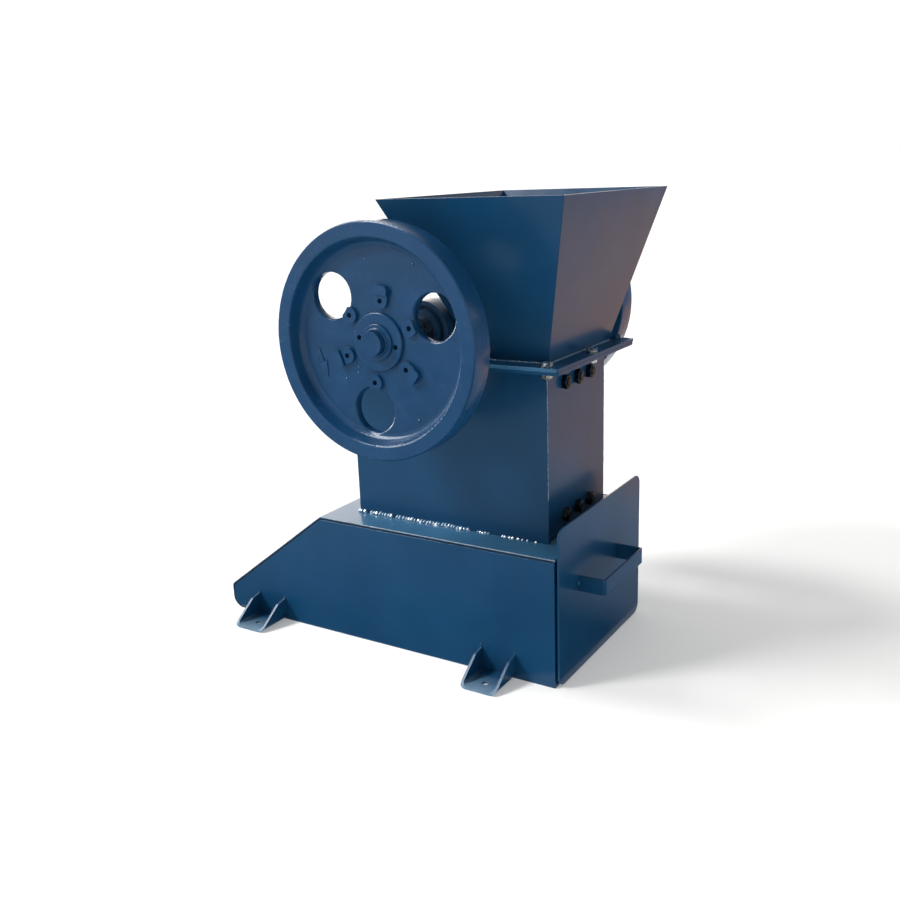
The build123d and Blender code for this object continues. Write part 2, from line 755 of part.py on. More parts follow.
def make_nodes():
    """Every piece of the machine by its name."""
    rear_foot, front_foot = foot(-foot_pitch / 2), foot(foot_pitch / 2)
    wheel, washer = flywheel(), collar()
    return {
        "base_side_near": near_side(base_side()),
        "base_side_far": base_side(),
        "base_slope_plate": base_slope(),
        "base_top_plate": base_top(),
        "base_floor": base_floor(),
        "foot_rear_near": near_side(rear_foot),
        "foot_rear_far": rear_foot,
        "foot_front_near": near_side(front_foot),
        "foot_front_far": front_foot,
        "body_side_near": near_side(body_side()),
        "body_side_far": body_side(),
        "body_front_plate": body_front(),
        "body_rear_plate": body_rear(),
        "body_top_flange": body_flange(),
        "hopper_flange": hopper_flange(),
        "hopper_wall_near": hopper_wall(0, 1),
        "hopper_wall_front": hopper_wall(1, 2),
        "hopper_wall_far": hopper_wall(2, 3),
        "hopper_wall_rear": hopper_wall(3, 0),
        "fixed_jaw_plate": fixed_jaw(),
        "swing_jaw_plate": swing_jaw(),
        "pitman": pitman(),
        "toggle_plate": toggle_plate(),
        "toggle_seat": toggle_seat(),
        "tension_rod": tension_rod(),
        "tension_spring": tension_spring(),
        "bearing_near": near_side(bearing()),
        "bearing_far": bearing(),
        "eccentric_shaft": eccentric_shaft(),
        "flywheel_near": wheel,
        "flywheel_far": other_end(wheel),
        "shaft_collar_near": washer,
        "shaft_collar_far": other_end(washer),
        "drawer_floor": drawer_floor(),
        "drawer_side_near": near_side(drawer_side()),
        "drawer_side_far": drawer_side(),
        "drawer_back": drawer_back(),
        "drawer_front_panel": drawer_panel(),
        "drawer_handle": drawer_handle(),
    }


os.makedirs("parts", exist_ok=True)
for node_name, node_shape in make_nodes().items():
    export_step(node_shape, f"parts/{node_name}.step")
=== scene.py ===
import bmesh
import bpy
import math
import random
from mathutils import Matrix, Quaternion, Vector


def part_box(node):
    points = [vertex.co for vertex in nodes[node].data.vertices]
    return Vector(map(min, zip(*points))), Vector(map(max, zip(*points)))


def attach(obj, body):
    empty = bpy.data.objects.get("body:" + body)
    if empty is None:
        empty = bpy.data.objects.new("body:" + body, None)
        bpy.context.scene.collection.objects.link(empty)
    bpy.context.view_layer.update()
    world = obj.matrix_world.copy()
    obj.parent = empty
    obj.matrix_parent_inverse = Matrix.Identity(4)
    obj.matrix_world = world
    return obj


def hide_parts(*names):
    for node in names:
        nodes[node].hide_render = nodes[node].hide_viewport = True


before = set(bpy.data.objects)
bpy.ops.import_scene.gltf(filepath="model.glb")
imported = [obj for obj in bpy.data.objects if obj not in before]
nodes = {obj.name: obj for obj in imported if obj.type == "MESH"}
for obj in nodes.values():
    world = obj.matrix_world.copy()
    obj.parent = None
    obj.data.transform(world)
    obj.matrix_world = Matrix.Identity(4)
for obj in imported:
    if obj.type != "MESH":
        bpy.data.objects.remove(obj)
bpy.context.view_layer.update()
mm = 0.001  # the scene is in metres, sizes below are in millimetres
print("frame loaded:", len(nodes), "nodes")


# Materials

def linear(hexText):  # sRGB hex to the linear colour that sockets take
    values = [int(hexText[i:i + 2], 16) / 255 for i in (1, 3, 5)]
    return tuple(v / 12.92 if v <= 0.04045 else ((v + 0.055) / 1.055) ** 2.4 for v in values) + (1.0,)


def perMetre(sizeMm):  # texture scale for a pattern of this size
    return 1 / (sizeMm * mm)


# A mix node's sockets go by number: 0 the share, 2 and 3 values, 4 and 5 vectors, 6 and 7 colours.
# Its outputs are 0 the value, 1 the vector and 2 the colour
def addNode(owner, kind, settings=(), links=()):
    node = owner.node_tree.nodes.new(kind)
    for key, value in dict(settings).items():
        if isinstance(key, int) or key in node.inputs:
            node.inputs[key].default_value = value
        else:
            setattr(node, key, value)
    for key, source in dict(links).items():
        owner.node_tree.links.new(source, node.inputs[key])
    return node


def newMaterial(name, settings, links):
    # links is a function that gets the material and its object coordinates and returns what feeds the shader
    material = bpy.data.materials.new(name)
    material.use_nodes = True
    shader = material.node_tree.nodes["Principled BSDF"]
    for key, value in settings.items():
        shader.inputs[key].default_value = value
    place = addNode(material, "ShaderNodeTexCoord").outputs["Object"]
    for key, source in links(material, place).items():
        material.node_tree.links.new(source, shader.inputs[key])
    return material


# Gloss enamel, sprayed over plate or castings: deep petrol blue, soft reflections that wander with the
# plate, a fine orange peel, a few dust nibs, and slightly patchy colour where the coats overlap
plateEnamel = {
    "light": "#154468", "dark": "#0c3453", "patchMm": 140,
    "roughLow": 0.19, "roughHigh": 0.27, "smearMm": 60,
    "waveMm": 210, "waveDepthMm": 1.2, "peelMm": 3.5, "peelDepthMm": 0.05, "nibMm": 22, "nibDepthMm": 0.12,
    "specular": 0.24,
}
castEnamel = {  # the sand-cast skin shows through as a coarser grain
    "light": "#14426a", "dark": "#0b3252", "patchMm": 60,
    "roughLow": 0.16, "roughHigh": 0.30, "smearMm": 30,
    "waveMm": 45, "waveDepthMm": 0.8, "peelMm": 4.5, "peelDepthMm": 0.22, "nibMm": 16, "nibDepthMm": 0.35,
    "specular": 0.28,
}
weldEnamel = {  # paint pulled thin and glassy over the ripples; its paler blue is a painted highlight on the beads and the wheel's pips
    "light": "#1f6288", "dark": "#0b3d5e", "patchMm": 9,
    "roughLow": 0.08, "roughHigh": 0.2, "smearMm": 6,
    "waveMm": 6, "waveDepthMm": 0.6, "peelMm": 1.6, "peelDepthMm": 0.15, "nibMm": 5, "nibDepthMm": 0.4,
    "specular": 0.7,
}
housingEnamel = {  # bearing castings, darker and duller
    "light": "#1d4260", "dark": "#12304a", "patchMm": 40,
    "roughLow": 0.26, "roughHigh": 0.4, "smearMm": 20,
    "waveMm": 30, "waveDepthMm": 0.4, "peelMm": 3.0, "peelDepthMm": 0.2, "nibMm": 12, "nibDepthMm": 0.3,
    "specular": 0.35,
}
highlightEnamel = {  # pale grey-blue along rounded corners, a painted highlight
    "light": "#93a1ae", "dark": "#2f5270", "patchMm": 45,
    "roughLow": 0.25, "roughHigh": 0.4, "smearMm": 20,
    "waveMm": 20, "waveDepthMm": 0.2, "peelMm": 2.5, "peelDepthMm": 0.1, "nibMm": 12, "nibDepthMm": 0.1,
    "specular": 0.4,
}
footHighlightCoat = {  # pale grey-blue and duller gloss for the foot plates, a painted highlight of the sky
    "light": "#6f8a9f", "dark": "#4f6c83", "patchMm": 25,
    "roughLow": 0.5, "roughHigh": 0.7, "smearMm": 12,
    "waveMm": 40, "waveDepthMm": 0.2, "peelMm": 2.0, "peelDepthMm": 0.1, "nibMm": 9, "nibDepthMm": 0.2,
}
edgeShadeEnamel = {  # dark dull blue on the sheet's cut side edges, a painted shade
    "light": "#082a45", "dark": "#051d33", "patchMm": 30,
    "roughLow": 0.4, "roughHigh": 0.55, "smearMm": 15,
    "waveMm": 50, "waveDepthMm": 0.2, "peelMm": 2.5, "peelDepthMm": 0.15, "nibMm": 12, "nibDepthMm": 0.2,
}
# A paler blue that keeps the gloss: a painted highlight of the light from above on the base's top, and paler
# side edges on the hopper's flange
paleBlueCoat = {**plateEnamel, "light": "#3c6c8e", "dark": "#2d5a7b", "patchMm": 60}
paintPattern = {  # the same for all paints
    "detail": {"patch": 4.0, "smear": 5.0, "wave": 1.0, "peel": 2.0},  # of the noise in each
    "smearLow": 0.3, "smearHigh": 0.7,  # noise values that give the lowest and highest roughness
    "nibReach": 0.06,  # of the distance between nibs
}


def paintLinks(paint):
    def links(material, place):
        noise = {}
        for name, detail in paintPattern["detail"].items():
            noise[name] = addNode(material, "ShaderNodeTexNoise",
                                  {"Scale": perMetre(paint[name + "Mm"]), "Detail": detail},
                                  {"Vector": place}).outputs[0]
        colour = addNode(material, "ShaderNodeMix",
                         {"data_type": "RGBA", 6: linear(paint["dark"]), 7: linear(paint["light"])},
                         {0: noise["patch"]})
        rough = addNode(material, "ShaderNodeMapRange",
                        {"From Min": paintPattern["smearLow"], "From Max": paintPattern["smearHigh"],
                         "To Min": paint["roughLow"], "To Max": paint["roughHigh"]},
                        {"Value": noise["smear"]})
        nib = addNode(material, "ShaderNodeTexVoronoi", {"Scale": perMetre(paint["nibMm"])},
                      {"Vector": place})
        nibHeight = addNode(material, "ShaderNodeMapRange",
                            {"From Min": 0.0, "From Max": paintPattern["nibReach"],
                             "To Min": 1.0, "To Max": 0.0},
                            {"Value": nib.outputs["Distance"]})
        relief = {"wave": noise["wave"], "peel": noise["peel"], "nib": nibHeight.outputs[0]}
        bump = {}
        for name, rise in relief.items():  # each relief lies on the one before
            bump["Normal"] = addNode(material, "ShaderNodeBump", {"Distance": paint[name + "DepthMm"] * mm},
                                     {"Height": rise, **bump}).outputs[0]
        return {"Base Color": colour.outputs[2], "Roughness": rough.outputs[0], **bump}
    return links


def paintMaterial(name, paint):
    return newMaterial(name, {"Specular IOR Level": paint["specular"], "IOR": 1.5}, paintLinks(paint))


blueOnPlate = paintMaterial("gloss enamel on steel plate", plateEnamel)
blueOnCasting = paintMaterial("gloss enamel on cast iron", castEnamel)
blueOnWeld = paintMaterial("gloss enamel on weld metal", weldEnamel)
paintedHighlightLine = paintMaterial("rubbed enamel on a corner", highlightEnamel)

# Bare metals: two tones in patches, the shinier tone the lighter, with a grain that stretch draws out.
# The grain is coarser than the real one, so that it shows
zincPlate = {  # bright zinc plating, a little cloudy, yellow where it was passivated
    "light": "#c9ccca", "dark": "#a39c86", "roughLow": 0.22, "roughHigh": 0.42, "patchMm": 7, "grainMm": 0.8,
    "grainDepthMm": 0.05, "stretch": (1.0, 1.0, 1.0)}
blackOxide = {  # blackened nuts and studs with oily sheen
    "light": "#3a464b", "dark": "#171e23", "roughLow": 0.34, "roughHigh": 0.5, "patchMm": 6, "grainMm": 0.9,
    "grainDepthMm": 0.06, "stretch": (1.0, 1.0, 1.0)}
jawCasting = {  # wear-resistant cast steel, grey with brown in the hollows
    "light": "#8d8984", "dark": "#5a4d43", "roughLow": 0.42, "roughHigh": 0.62, "patchMm": 18, "grainMm": 2.2,
    "grainDepthMm": 0.3, "stretch": (1.0, 1.0, 0.35)}
springWire = {  # oil-hardened wire, dark grey
    "light": "#55585c", "dark": "#2b2d30", "roughLow": 0.25, "roughHigh": 0.4, "patchMm": 5, "grainMm": 0.7,
    "grainDepthMm": 0.03, "stretch": (1.0, 1.0, 1.0)}
turnedSteel = {  # lathe-turned bar: fine rings round the axis
    "light": "#b1b2b3", "dark": "#8c8b89", "roughLow": 0.2, "roughHigh": 0.34, "patchMm": 25, "grainMm": 1.2,
    "grainDepthMm": 0.04, "stretch": (0.05, 1.0, 0.05)}
weldMetal = {  # the wire brush left the crests of the ripples bright
    "light": "#dfe3e6", "dark": "#b9c2c8", "roughLow": 0.2, "roughHigh": 0.35, "patchMm": 4, "grainMm": 0.8,
    "grainDepthMm": 0.05, "stretch": (1.0, 1.0, 1.0)}
metalPattern = {  # the same for all metals
    "patchDetail": 5.0, "grainDetail": 3.0,
    "patchLow": 0.35, "patchHigh": 0.65,  # noise values that give the dark and the light tone
}


def metalLinks(metal):
    def links(material, place):
        patch = addNode(material, "ShaderNodeTexNoise",
                        {"Scale": perMetre(metal["patchMm"]), "Detail": metalPattern["patchDetail"]},
                        {"Vector": place})
        contrast = addNode(material, "ShaderNodeMapRange",
                           {"From Min": metalPattern["patchLow"], "From Max": metalPattern["patchHigh"]},
                           {"Value": patch.outputs[0]})
        colour = addNode(material, "ShaderNodeMix",
                         {"data_type": "RGBA", 6: linear(metal["dark"]), 7: linear(metal["light"])},
                         {0: contrast.outputs[0]})
        rough = addNode(material, "ShaderNodeMapRange",
                        {"To Min": metal["roughHigh"], "To Max": metal["roughLow"]},
                        {"Value": contrast.outputs[0]})
        stretched = addNode(material, "ShaderNodeMapping", {"Scale": metal["stretch"]}, {"Vector": place})
        grain = addNode(material, "ShaderNodeTexNoise",
                        {"Scale": perMetre(metal["grainMm"]), "Detail": metalPattern["grainDetail"]},
                        {"Vector": stretched.outputs[0]})
        bump = addNode(material, "ShaderNodeBump", {"Distance": metal["grainDepthMm"] * mm},
                       {"Height": grain.outputs[0]})
        return {"Base Color": colour.outputs[2], "Roughness": rough.outputs[0], "Normal": bump.outputs[0]}
    return links


def metalMaterial(name, metal):
    return newMaterial(name, {"Metallic": 1.0}, metalLinks(metal))


def twoFinishes(metal, paint, painted):  # bare metal, and paint where the mask that painted makes is 1
    def links(material, place):
        mask = painted(material, place)
        bare, coat = metalLinks(metal)(material, place), paintLinks(paint)(material, place)
        colour = addNode(material, "ShaderNodeMix", {"data_type": "RGBA"},
                         {0: mask, 6: bare["Base Color"], 7: coat["Base Color"]})
        rough = addNode(material, "ShaderNodeMix", (), {0: mask, 2: bare["Roughness"], 3: coat["Roughness"]})
        metallic = addNode(material, "ShaderNodeMath", {"operation": "SUBTRACT", 0: 1.0}, {1: mask})
        return {"Base Color": colour.outputs[2], "Roughness": rough.outputs[0], "Normal": coat["Normal"],
                "Metallic": metallic.outputs[0]}
    return links


def twoCoats(first, second, covered):  # a coat, and a second one where the mask that covered makes is 1
    def links(material, place):
        mask = covered(material, place)
        under, over = first(material, place), second(material, place)
        colour = addNode(material, "ShaderNodeMix", {"data_type": "RGBA"},
                         {0: mask, 6: under["Base Color"], 7: over["Base Color"]})
        rough = addNode(material, "ShaderNodeMix", (), {0: mask, 2: under["Roughness"], 3: over["Roughness"]})
        normal = addNode(material, "ShaderNodeMix", {"data_type": "VECTOR"},
                         {0: mask, 4: under["Normal"], 5: over["Normal"]})
        return {"Base Color": colour.outputs[2], "Roughness": rough.outputs[0], "Normal": normal.outputs[1]}
    return links


# Masks, and where the coats lie
brushedOff = {"patchMm": 9, "bare": 0.42, "painted": 0.48}  # noise values where the paint is gone and whole
overspray = {"patchMm": 8, "bare": 0.44, "painted": 0.56}
spotDetail = 3.0  # of the noise in both
shaftPlace = (125, 0, 630)
hubFace = 303  # from the middle of the machine
footHighlight = {"full": 6, "plain": 11, "inner": 205, "outer": 262}  # the painted highlight lies low on the foot plate and grows towards its toe; near the cheeks it is left out, a painted shade
baseTop = {"plain": 190, "palest": 245}  # heights on the base's cover over which its painted highlight comes in
shadedEdgeFrom = 186.7  # past this the base's cover is painted dark along its side edges, a painted shade
edgeSkin = 0.5  # how far in from its sides the hopper's flange is paler
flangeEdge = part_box("hopper_flange")[1].y / mm - edgeSkin  # past this the flange shows it


def inPatches(spots):  # a mask in spots of this size
    def painted(material, place):
        patch = addNode(material, "ShaderNodeTexNoise",
                        {"Scale": perMetre(spots["patchMm"]), "Detail": spotDetail}, {"Vector": place})
        return addNode(material, "ShaderNodeMapRange",
                       {"From Min": spots["bare"], "From Max": spots["painted"]},
                       {"Value": patch.outputs[0]}).outputs[0]
    return painted


def ramp(material, value, start, end):  # 0 where the value is start, 1 where it is end, in millimetres
    return addNode(material, "ShaderNodeMapRange", {"From Min": start * mm, "From Max": end * mm},
                   {"Value": value}).outputs[0]


def fromMiddle(material, place):  # distance from the machine's middle plane
    across = addNode(material, "ShaderNodeSeparateXYZ", (), {0: place}).outputs["Y"]
    return addNode(material, "ShaderNodeMath", {"operation": "ABSOLUTE"}, {0: across}).outputs[0]


def height(owner, place):
    return addNode(owner, "ShaderNodeSeparateXYZ", (), {0: place}).outputs["Z"]


def onFootPlate(material, place):
    low = ramp(material, height(material, place), footHighlight["plain"], footHighlight["full"])
    toe = ramp(material, fromMiddle(material, place), footHighlight["inner"], footHighlight["outer"])
    return addNode(material, "ShaderNodeMath", {"operation": "MULTIPLY"}, {0: low, 1: toe}).outputs[0]


def onBaseTop(material, place):
    return ramp(material, height(material, place), baseTop["plain"], baseTop["palest"])


def past(limitMm):  # further from the middle plane than this
    def painted(material, place):
        return addNode(material, "ShaderNodeMath", {"operation": "GREATER_THAN", 1: limitMm * mm},
                       {0: fromMiddle(material, place)}).outputs[0]
    return painted


def mixedMaterial(name, metal, paint, painted):
    return newMaterial(name, {"Specular IOR Level": paint["specular"]}, twoFinishes(metal, paint, painted))


# Bright crests and blue hollows along the weld beads
brushedWeld = mixedMaterial("brushed weld metal under thin enamel", weldMetal, weldEnamel,
                            inPatches(brushedOff))
# Zinc that the spray gun caught in spots
zincOversprayed = mixedMaterial("zinc plated steel with blue overspray", zincPlate, plateEnamel,
                                inPatches(overspray))
darkOnHousing = paintMaterial("dark enamel on bearing housing", housingEnamel)
# Bare bar inside the machine, blue from the wheels' hubs outwards
shaftSteel = mixedMaterial("turned shaft steel with painted ends", turnedSteel, castEnamel, past(hubFace))
enamelShine = {"Specular IOR Level": plateEnamel["specular"], "IOR": 1.5}
# Feet whose plates pale and dull towards the toe, a painted highlight, and stay darker near the cheeks as
# painted shade
paintedHighlightFeet = newMaterial("gloss enamel under floor dust", enamelShine,
                        twoCoats(paintLinks(plateEnamel), paintLinks(footHighlightCoat), onFootPlate))
# The base's cover, paler on its top as a painted highlight, with dark dull lines along the sheet's cut side
# edges as painted shade
paintedLightTop = twoCoats(paintLinks(plateEnamel), paintLinks(paleBlueCoat), onBaseTop)
paintedLightCover = newMaterial("gloss enamel with dusty top and dull sheared edges", enamelShine,
                          twoCoats(paintedLightTop, paintLinks(edgeShadeEnamel), past(shadedEdgeFrom)))
# The hopper's flange, paler on its side edges
paleEdgedFlange = newMaterial("gloss enamel with paler side edges", enamelShine,
                            twoCoats(paintLinks(plateEnamel), paintLinks(paleBlueCoat), past(flangeEdge)))
brightZinc = metalMaterial("zinc plated steel", zincPlate)
blackSteel = metalMaterial("black oxide steel", blackOxide)
jawSteel = metalMaterial("cast wear steel", jawCasting)
oiledWire = metalMaterial("oil hardened spring wire", springWire)
print("materials made:", len(bpy.data.materials))


# Modelling helpers

def only(piece):  # select this piece alone
    bpy.ops.object.select_all(action="DESELECT")
    piece.select_set(True)
    bpy.context.view_layer.objects.active = piece


def pick(piece, kind, wanted):  # edit mode, with the wanted faces or edges selected
    only(piece)
    bpy.ops.object.mode_set(mode="EDIT")
    bpy.ops.mesh.select_mode(type=kind)
    bpy.ops.mesh.select_all(action="DESELECT")
    mesh = bmesh.from_edit_mesh(piece.data)
    for part in (mesh.faces if kind == "FACE" else mesh.edges):
        part.select_set(wanted(part))
    mesh.select_flush_mode()
    bmesh.update_edit_mesh(piece.data)


def editDone():
    bpy.ops.object.mode_set(mode="OBJECT")


def every(part):  # for pick: the whole piece
    return True


def topFace(face):  # one that looks up
    return face.normal.z > 0.9


def sharpEdge(edge):  # one that turns by more than a radian
    return edge.calc_face_angle(0) > 1


def useModifier(piece, kind, settings):
    only(piece)
    modifier = piece.modifiers.new(kind.lower(), kind)
    for key, value in settings.items():
        setattr(modifier, key, value)
    bpy.ops.object.modifier_apply(modifier=modifier.name)


def joined(name, pieces):  # several pieces as one, with its place in its mesh
    bpy.ops.object.select_all(action="DESELECT")
    for piece in pieces:
        piece.select_set(True)
    bpy.context.view_layer.objects.active = pieces[0]
    if len(pieces) > 1:
        bpy.ops.object.join()
    whole = bpy.context.view_layer.objects.active
    whole.name = name
    bpy.ops.object.transform_apply(location=True, rotation=True, scale=True)
    return whole


def copied(piece, name, turn):  # a copy with its own mesh, moved by a matrix
    mesh = piece.data.copy()
    mesh.transform(turn)
    twin = bpy.data.objects.new(name, mesh)
    bpy.context.scene.collection.objects.link(twin)
    return twin


def pointing(direction, place):  # turns +Z to a direction and moves the origin to a place
    return Matrix.Translation(place) @ Vector(direction).to_track_quat("Z", "Y").to_matrix().to_4x4()


def finished(piece, body, material, smooth):  # smooth is the angle in degrees below which faces blend
    piece.data.materials.clear()
    piece.data.materials.append(material)
    only(piece)
    bpy.ops.object.shade_smooth_by_angle(angle=math.radians(smooth))
    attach(piece, body)


def discard(piece):
    bpy.data.objects.remove(piece)


# Fasteners, modelled once on +Z with the seat at the origin

turned = {  # how all of them are turned
    "corner": 0.14,  # cut off the hexagon's corners, of its radius
    "rim": 0.25,  # cut off the washer's rim, of its thickness
    "root": 0.86,  # radius at the thread's root, of the stud's
    "end": 0.12,  # cut off the stud's end, of its radius
    "smooth": 25,
}


def hexBlank(settings):  # a hexagon with its corners turned off by a chamfered cylinder
    radius = settings["flats"] / math.sqrt(3) * mm
    depth = settings["height"] * mm
    middle = (0, 0, (settings["washer"] + settings["height"] / 2) * mm)
    bpy.ops.mesh.primitive_cylinder_add(vertices=6, radius=radius, depth=depth, location=middle)
    blank = bpy.context.object
    bpy.ops.mesh.primitive_cylinder_add(vertices=48, radius=radius, depth=depth, location=middle)
    turning = bpy.context.object
    pick(turning, "EDGE", sharpEdge)
    bpy.ops.mesh.bevel(offset=turned["corner"] * radius, segments=2)
    editDone()
    useModifier(blank, "BOOLEAN", {"operation": "INTERSECT", "object": turning})
    discard(turning)
    return blank


def flatWasher(settings):
    radius = settings["washerWide"] / 2 * mm
    depth = settings["washer"] * mm
    bpy.ops.mesh.primitive_cylinder_add(vertices=40, radius=radius, depth=depth, location=(0, 0, depth / 2))
    washer = bpy.context.object
    pick(washer, "EDGE", sharpEdge)
    bpy.ops.mesh.bevel(offset=turned["rim"] * depth, segments=2)
    editDone()
    return washer


def threadEnd(settings):  # the end of a stud, ringed by its thread
    radius = settings["thread"] / 2 * mm
    pitch = settings["pitch"] * mm
    start = (settings["washer"] + settings["height"]) * mm
    bpy.ops.mesh.primitive_cylinder_add(vertices=24, radius=radius, depth=pitch,
                                        location=(0, 0, start - pitch / 2))
    stud = bpy.context.object
    pick(stud, "FACE", topFace)
    for _ in range(settings["turns"]):
        for size in (turned["root"], 1 / turned["root"]):
            bpy.ops.mesh.extrude_region_move(TRANSFORM_OT_translate={"value": (0, 0, pitch / 2)})
            bpy.ops.transform.resize(value=(size, size, 1))
    bpy.ops.mesh.bevel(offset=turned["end"] * radius, segments=1)
    editDone()
    return stud


def spun(fastener, count):  # nuts stop where they stop
    start, step = fastener["spin"]
    return Matrix.Rotation(math.radians(start + step * count), 4, "Z")


jawBolt = {"flats": 24, "height": 8, "washer": 1.5, "washerWide": 25,
           "thread": 16, "pitch": 2.0, "turns": 1, "across": 52, "shift": -3,
           "below": 33, "above": 38,  # a row below the flange and one above the base
           "spin": (7, 23)}  # degrees, at the start and from bolt to bolt
flangeBolt = {"flats": 17, "height": 5.5, "washer": 2, "washerWide": 21,
              "thread": 10, "pitch": 1.5, "turns": 2,
              "corner": (28, 18), "middle": (16, 6), "rear": 20,  # in from the flange's edges
              "painted": 2,  # the one that the spray gun covered
              "spin": (11, 31)}
bearingBolt = {"flats": 22, "height": 9, "washer": 3, "washerWide": 28, "spread": 70,
               "foot": 20,  # thickness of the pillow block's foot
               "spin": 0.4}  # radians, one way in front and the other way behind


def jawBolts():
    model = joined("jaw_bolt", [hexBlank(jawBolt), flatWasher(jawBolt), threadEnd(jawBolt)])
    low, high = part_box("body_front_plate")
    count = 0
    for z in (high.z - jawBolt["below"] * mm, low.z + jawBolt["above"] * mm):
        for step in (-1, 0, 1):
            count += 1
            seat = Vector((high.x, (step * jawBolt["across"] + jawBolt["shift"]) * mm, z))
            twin = copied(model, f"jaw_bolt_{count}", pointing((1, 0, 0), seat) @ spun(jawBolt, count))
            finished(twin, "frame", blackSteel, turned["smooth"])
    discard(model)


def flangeBolts():
    head = joined("flange_bolt", [hexBlank(flangeBolt), flatWasher(flangeBolt)])
    nut = joined("flange_nut", [hexBlank(flangeBolt), flatWasher(flangeBolt), threadEnd(flangeBolt)])
    low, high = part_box("hopper_flange")
    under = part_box("body_top_flange")[0].z
    inX, inY = flangeBolt["corner"]
    places = [(high.x - inX * mm, side * (high.y - inY * mm)) for side in (-1, 1)]
    places += [(low.x + flangeBolt["rear"] * mm, side * (high.y - inY * mm)) for side in (-1, 1)]
    places.append((high.x - flangeBolt["middle"][0] * mm, flangeBolt["middle"][1] * mm))
    for count, (x, y) in enumerate(places, 1):
        spin = spun(flangeBolt, count)
        top = copied(head, f"flange_bolt_{count}", pointing((0, 0, 1), (x, y, high.z)) @ spin)
        coat = blueOnPlate if count == flangeBolt["painted"] else zincOversprayed
        finished(top, "frame", coat, turned["smooth"])
        bottom = copied(nut, f"flange_nut_{count}", pointing((0, 0, -1), (x, y, under)) @ spin)
        finished(bottom, "frame", brightZinc, turned["smooth"])
    discard(head)
    discard(nut)


def bearingBolts():
    model = joined("bearing_bolt", [hexBlank(bearingBolt), flatWasher(bearingBolt)])
    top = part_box("body_top_flange")[1].z + bearingBolt["foot"] * mm
    for side in ("near", "far"):
        low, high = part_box(f"bearing_{side}")
        middle = (low + high) / 2
        for step, end in ((-1, "rear"), (1, "front")):
            seat = Vector((middle.x + step * bearingBolt["spread"] * mm, middle.y, top))
            spin = Matrix.Rotation(bearingBolt["spin"] * step, 4, "Z")
            twin = copied(model, f"bearing_bolt_{side}_{end}", pointing((0, 0, 1), seat) @ spin)
            finished(twin, "frame", blackSteel, turned["smooth"])
    discard(model)


jawBolts()
flangeBolts()
bearingBolts()
print("fasteners made")


# Weld beads: one ripple is modelled and copied along each seam, tilted like coins pushed over. Each kind
# has the sizes of its ripples, and in skip the share that is left out

filletWeld = {"pitch": 7.0, "length": 6.0, "across": 7.0, "height": 5.6,
              "tilt": 34, "lift": 0.6, "skip": 0.05}
thinFillet = {"pitch": 5.2, "length": 3.8, "across": 3.8, "height": 2.9,
              "tilt": 30, "lift": 0.2, "skip": 0.5}
cornerWeld = {"pitch": 2.2, "length": 2.4, "across": 0.7, "height": 0.8,
              "tilt": 6, "lift": -0.75, "skip": 0.0}
edgeWeld = {"pitch": 2.6, "length": 2.6, "across": 1.2, "height": 1.1,
            "tilt": 6, "lift": -0.5, "skip": 0.0}
smallWeld = {"pitch": 3.6, "length": 3.0, "across": 2.6, "height": 1.9,
             "tilt": 24, "lift": 0.0, "skip": 0.04}
unevenness = {"seed": 7, "shift": 0.35, "size": (0.8, 1.2),
              "tilt": 12,  # degrees, times one more draw within the shift
              "smooth": 60}
rippleCut = -0.35  # height where the unit ball is cut flat


def weldRipple():
    bpy.ops.mesh.primitive_uv_sphere_add(segments=10, ring_count=6, radius=1)
    ripple = bpy.context.object
    pick(ripple, "FACE", every)
    bpy.ops.mesh.bisect(plane_co=(0, 0, rippleCut), plane_no=(0, 0, 1), clear_inner=True, use_fill=True)
    editDone()
    return ripple


ripple = weldRipple()
dice = random.Random(unevenness["seed"])


def weldBead(name, bead, runs, body="frame", material=blueOnWeld):
    # runs are (start, end, the way the bead faces)
    shift = unevenness["shift"]
    pieces = []
    for start, end, facing in runs:
        start, end, out = Vector(start), Vector(end), Vector(facing).normalized()
        along = (end - start).normalized()
        turn = Matrix((along, out.cross(along), out)).transposed().to_4x4()
        count = max(2, round((end - start).length / (bead["pitch"] * mm)))
        for i in range(count + 1):
            if dice.random() < bead["skip"]:
                continue
            wobble = [dice.uniform(-shift, shift) for _ in range(3)]
            place = start.lerp(end, i / count) + (along * wobble[0] + out * (wobble[1] + bead["lift"])) * mm
            size = [bead[key] * mm * dice.uniform(*unevenness["size"])
                    for key in ("length", "across", "height")]
            tilt = Matrix.Rotation(math.radians(-bead["tilt"] + unevenness["tilt"] * wobble[2]), 4, "Y")
            matrix = Matrix.Translation(place) @ turn @ tilt @ Matrix.Diagonal(size + [1])
            pieces.append(copied(ripple, "ripple", matrix))
    finished(joined(name, pieces), body, material, unevenness["smooth"])


def boxSeam(low, high, z, side):  # a seam along one side of an upright box, at a height
    corners = {"near": ((low.x, low.y), (high.x, low.y), (0, -1)),
               "far": ((low.x, high.y), (high.x, high.y), (0, 1)),
               "front": ((high.x, low.y), (high.x, high.y), (1, 0)),
               "rear": ((low.x, low.y), (low.x, high.y), (-1, 0))}
    start, end, out = corners[side]
    return Vector((*start, z)), Vector((*end, z)), out


bodySeam = {"change": 0.6,  # of the length: heavy behind, thinner where the torch ran on to the front
            "below": 4, "above": 80}  # the corner beads end this far below the flange and above the base
hopperMouth = {"low": (220, -129, 0), "high": (355, 129, 0), "rise": 0.8}  # the bead faces out and up
cheekTack = {"in": 2.5, "below": 3, "above": 2}  # over the top of each cheek of a foot
handleTack = {"below": 1, "above": 3}  # from the middle of the handle's height


